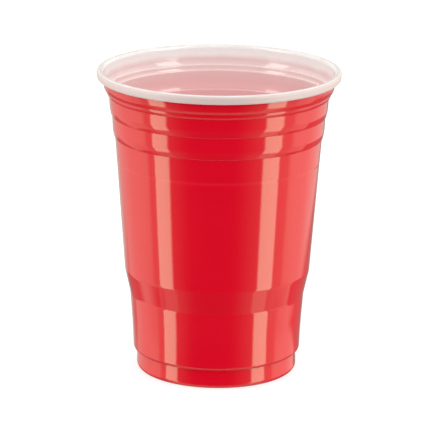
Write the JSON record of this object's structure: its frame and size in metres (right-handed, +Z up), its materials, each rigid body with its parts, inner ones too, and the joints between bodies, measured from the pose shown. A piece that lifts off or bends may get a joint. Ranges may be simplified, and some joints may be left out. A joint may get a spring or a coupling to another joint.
{
  "type": "plastic party cup",
  "caption": "Tapered thin-walled drinking cup with a rolled lip, banded collar, inward step and recessed base.",
  "frame": {"origin": "centre of the standing ring, on the surface that the cup stands on", "axes": "+Z up the cup's axis, towards the mouth; the cup is round, so X and Y are any two level directions"},
  "size_m": [0.0958, 0.0958, 0.121],
  "materials": {
    "red_outside": "glossy red sheet",
    "white_inside": "glossy white sheet, the red showing through a little"
  },
  "bodies": {
    "root": {"cup": "red_outside"}
  },
  "joints": []
}
